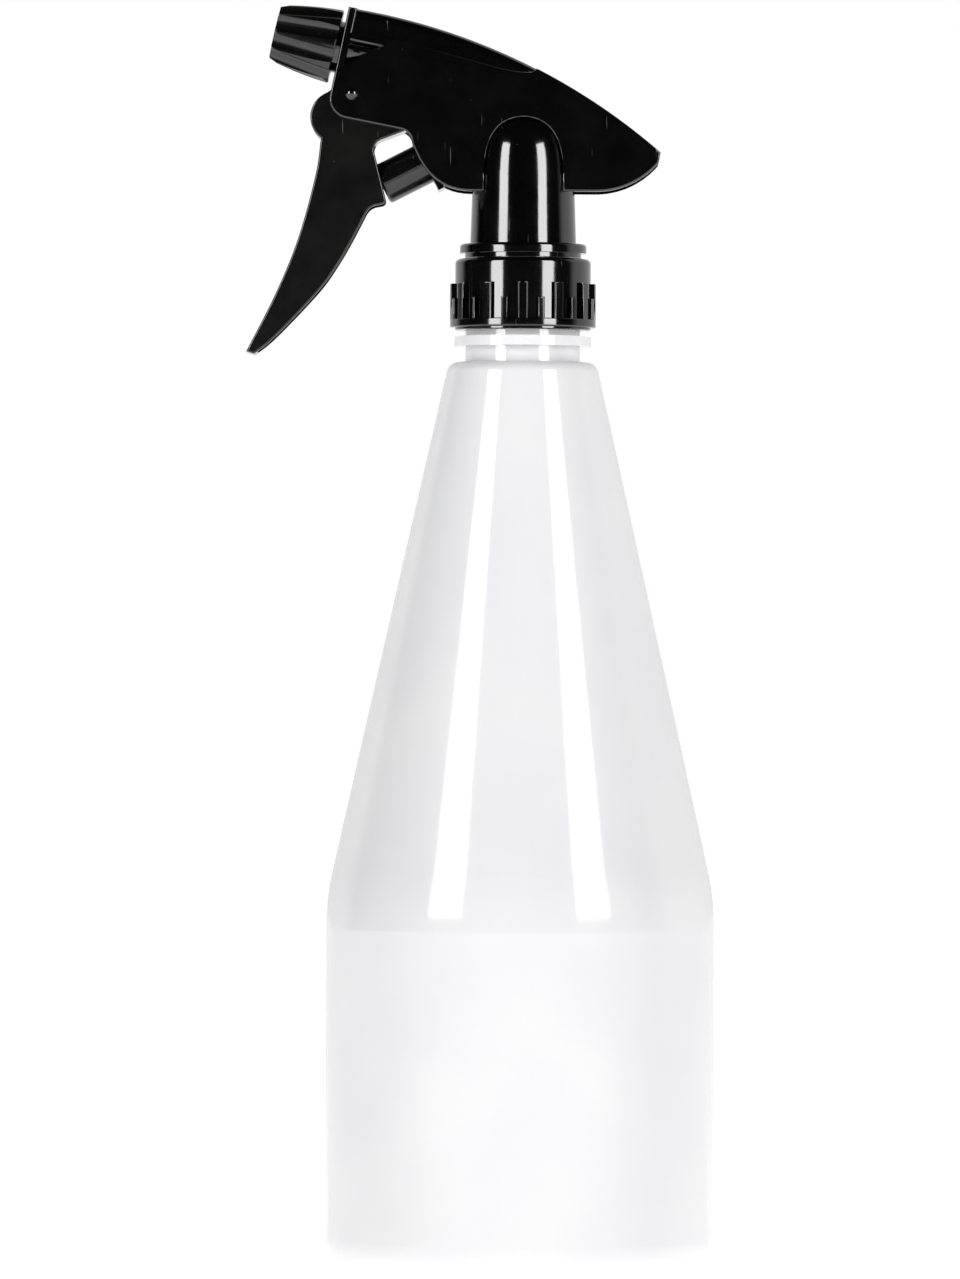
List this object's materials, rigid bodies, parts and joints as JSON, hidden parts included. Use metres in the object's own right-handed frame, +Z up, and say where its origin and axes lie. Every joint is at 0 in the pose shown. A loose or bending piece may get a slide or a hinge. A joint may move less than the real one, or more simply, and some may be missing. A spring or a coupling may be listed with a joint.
{
  "type": "trigger spray bottle",
  "caption": "Tall round plastic spray bottle with a conical neck, a screw-on trigger sprayer, an adjustable nozzle and a dip tube.",
  "frame": {"origin": "centre of the base, on the plane that the bottle stands on", "axes": "+Z up along the bottle axis, -Y towards the nozzle, +X across the sprayer"},
  "size_m": [0.095, 0.1149, 0.3083],
  "materials": {
    "white_bottle": "glossy",
    "black_gloss": "glossy",
    "black_satin": "semi-gloss",
    "natural_plastic": "satin",
    "clear_tube": "satin",
    "seal_rubber": "matte",
    "steel": "bright"
  },
  "bodies": {
    "bottle": {"bottle": "white_bottle"},
    "head": {"pump_body": "black_gloss", "shroud": "black_gloss", "tube_retainer": "natural_plastic", "neck_gasket": "seal_rubber", "dip_tube": "clear_tube", "trigger_pin": "black_gloss", "bore_plug": "natural_plastic", "outlet_spring": "steel", "return_spring": "steel", "nozzle_barrel": "black_gloss", "spinner": "natural_plastic"},
    "collar": {"collar": "black_gloss"},
    "trigger": {"trigger": "black_gloss"},
    "piston": {"piston": "black_satin", "piston_cup": "natural_plastic", "vent_ring": "seal_rubber"},
    "inlet_ball": {"inlet_ball": "steel"},
    "outlet_ball": {"outlet_ball": "steel"},
    "nozzle_seal": {"nozzle_seal": "seal_rubber"},
    "nozzle_cap": {"nozzle_cap": "black_satin"}
  },
  "joints": [
    {"name": "head_rise", "type": "slide", "parent": "bottle", "child": "head", "axis": [0, 0, 1], "range_m": [0, 0.00635]},
    {"name": "collar_turn", "type": "hinge", "parent": "head", "child": "collar", "pos_m": [0, 0, 0.238], "axis": [0, 0, 1], "range_deg": [0, 540]},
    {"name": "trigger_pull", "type": "hinge", "parent": "head", "child": "trigger", "pos_m": [0, -0.0419, 0.2865], "axis": [1, 0, 0], "range_deg": [0, 24], "stiffness_Nm_per_rad": 0.8, "springref_deg": -28.65},
    {"name": "piston_stroke", "type": "slide", "parent": "head", "child": "piston", "axis": [0, 0.891, 0.454], "range_m": [0, 0.00957], "deforming": ["return_spring"]},
    {"name": "inlet_ball_lift", "type": "slide", "parent": "head", "child": "inlet_ball", "axis": [0, 0, 1], "range_m": [0, 0.0008]},
    {"name": "outlet_ball_lift", "type": "slide", "parent": "head", "child": "outlet_ball", "axis": [0, 0, 1], "range_m": [0, 0.0008], "stiffness_N_per_m": 20, "springref_m": -0.002, "deforming": ["outlet_spring"]},
    {"name": "nozzle_travel", "type": "slide", "parent": "head", "child": "nozzle_seal", "axis": [0, -0.975, 0.2224], "range_m": [0, 0.003]},
    {"name": "nozzle_turn", "type": "hinge", "parent": "nozzle_seal", "child": "nozzle_cap", "pos_m": [0, -0.0459, 0.2984], "axis": [0, -0.975, 0.2224], "range_deg": [0, 540]}
  ],
  "couplings": [
    {"joint": "collar_turn", "follows": "head_rise", "rad_per_m": 1484.3},
    {"joint": "trigger_pull", "follows": "piston_stroke", "rad_per_m": 43.75},
    {"joint": "nozzle_turn", "follows": "nozzle_travel", "rad_per_m": 3141.6}
  ]
}
